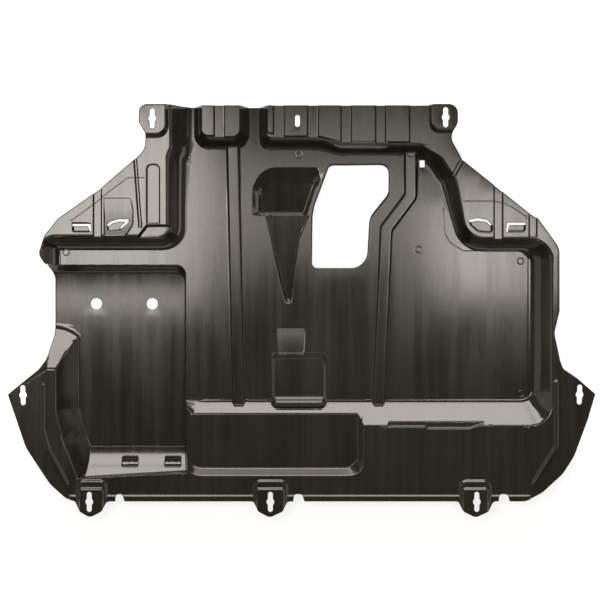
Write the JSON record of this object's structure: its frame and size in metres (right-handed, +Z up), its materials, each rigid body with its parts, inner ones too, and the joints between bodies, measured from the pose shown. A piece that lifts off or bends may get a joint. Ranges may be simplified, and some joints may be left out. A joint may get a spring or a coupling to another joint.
{
  "type": "engine splash shield",
  "caption": "Moulded plastic undertray that closes the bottom of an engine bay against spray and stones, with pans, ribs, a service opening and slotted fixing points.",
  "frame": {"origin": "middle of the outline's box in plan, at the underside of the deepest pan", "axes": "+X towards the right of the picture across the car, +Y towards the edge with the row of pads (top of the picture), +Z up out of the engine side, which faces the viewer"},
  "size_m": [1.001, 0.7026, 0.061],
  "materials": {
    "shield_plastic": "satin black moulded polypropylene with light flow streaks"
  },
  "bodies": {
    "root": {"splash_shield": "shield_plastic"}
  },
  "joints": []
}
